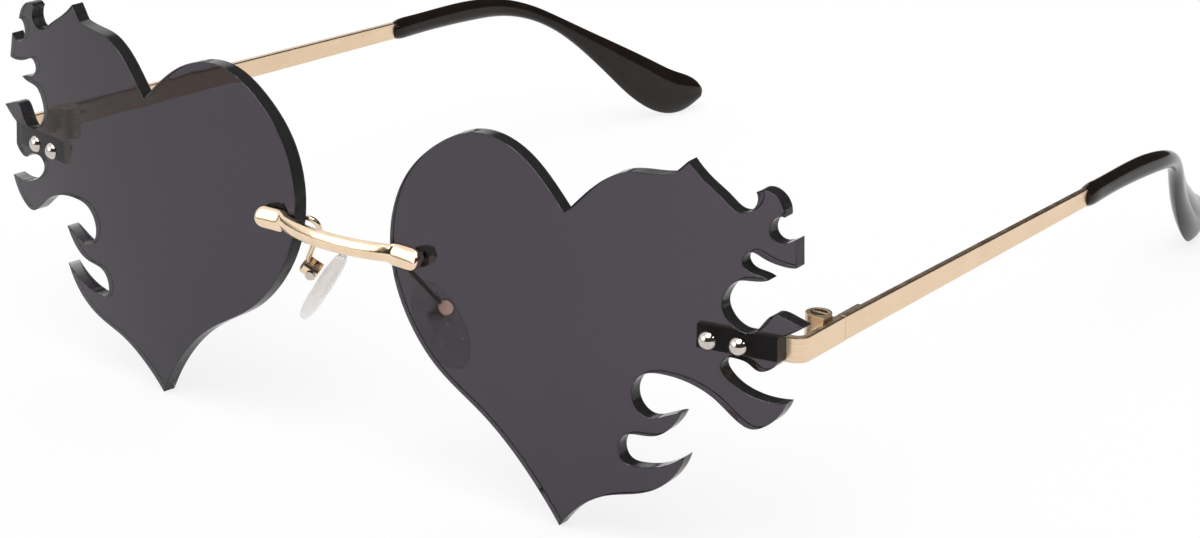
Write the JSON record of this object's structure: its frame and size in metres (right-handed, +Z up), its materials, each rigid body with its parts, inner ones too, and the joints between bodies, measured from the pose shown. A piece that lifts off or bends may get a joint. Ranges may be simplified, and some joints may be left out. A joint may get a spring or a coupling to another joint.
{
  "type": "heart shaped sunglasses",
  "caption": "Rimless sunglasses with tinted heart lenses, flame-cut outer edges, gold bridge, rocking nose pads and folding temples with black tips.",
  "frame": {"origin": "on the floor, at the middle of the glasses' box, where the heart tips and temple tips rest", "axes": "+X to the wearer's left, -Y to the front where the lenses face, +Z up"},
  "size_m": [0.1492, 0.1614, 0.0565],
  "materials": {
    "tinted_lens": "dark grey tinted, polished faces",
    "satin_gold": "champagne gold plating, satin brushed",
    "polished_gold": "champagne gold plating, mirror polished",
    "chrome_screw": "bright plated",
    "black_tip": "glossy moulded black",
    "milky_pad": "clear milky moulded silicone",
    "clear_bush": "clear moulded plastic"
  },
  "bodies": {
    "front": {"bridge": "polished_gold", "lens_left": "tinted_lens", "lens_right": "tinted_lens", "lens_screws_left": "chrome_screw", "lens_screws_right": "chrome_screw", "lens_bushes_left": "clear_bush", "lens_bushes_right": "clear_bush", "lens_nuts_left": "chrome_screw", "lens_nuts_right": "chrome_screw", "endpiece_left": "satin_gold", "endpiece_right": "satin_gold", "hinge_front_left": "satin_gold", "hinge_front_right": "satin_gold", "hinge_screw_left": "polished_gold", "hinge_screw_right": "polished_gold", "bridge_bush_left": "clear_bush", "bridge_bush_right": "clear_bush", "bridge_nut_left": "chrome_screw", "bridge_nut_right": "chrome_screw", "pad_arm_left": "polished_gold", "pad_arm_right": "polished_gold", "pad_screw_left": "chrome_screw", "pad_screw_right": "chrome_screw"},
    "temple_left": {"temple_left": "satin_gold", "temple_tip_left": "black_tip", "hinge_rear_left": "satin_gold"},
    "pad_left": {"nose_pad_left": "milky_pad", "pad_insert_left": "clear_bush"},
    "temple_right": {"temple_right": "satin_gold", "temple_tip_right": "black_tip", "hinge_rear_right": "satin_gold"},
    "pad_right": {"nose_pad_right": "milky_pad", "pad_insert_right": "clear_bush"}
  },
  "joints": [
    {"name": "temple_left_fold", "type": "hinge", "parent": "front", "child": "temple_left", "pos_m": [0.07014, -0.06085, 0.03253], "axis": [0, 0.0349, 0.9994], "range_deg": [0, 85]},
    {"name": "temple_right_fold", "type": "hinge", "parent": "front", "child": "temple_right", "pos_m": [-0.07014, -0.06085, 0.03253], "axis": [0, -0.0349, -0.9994], "range_deg": [0, 78]},
    {"name": "pad_left_rock", "type": "hinge", "parent": "front", "child": "pad_left", "pos_m": [0.01251, -0.06921, 0.02389], "axis": [0.3177, 0.9295, 0.1876], "range_deg": [-10, 10]},
    {"name": "pad_right_rock", "type": "hinge", "parent": "front", "child": "pad_right", "pos_m": [-0.01251, -0.06921, 0.02389], "axis": [-0.3177, 0.9295, 0.1876], "range_deg": [-10, 10]}
  ]
}
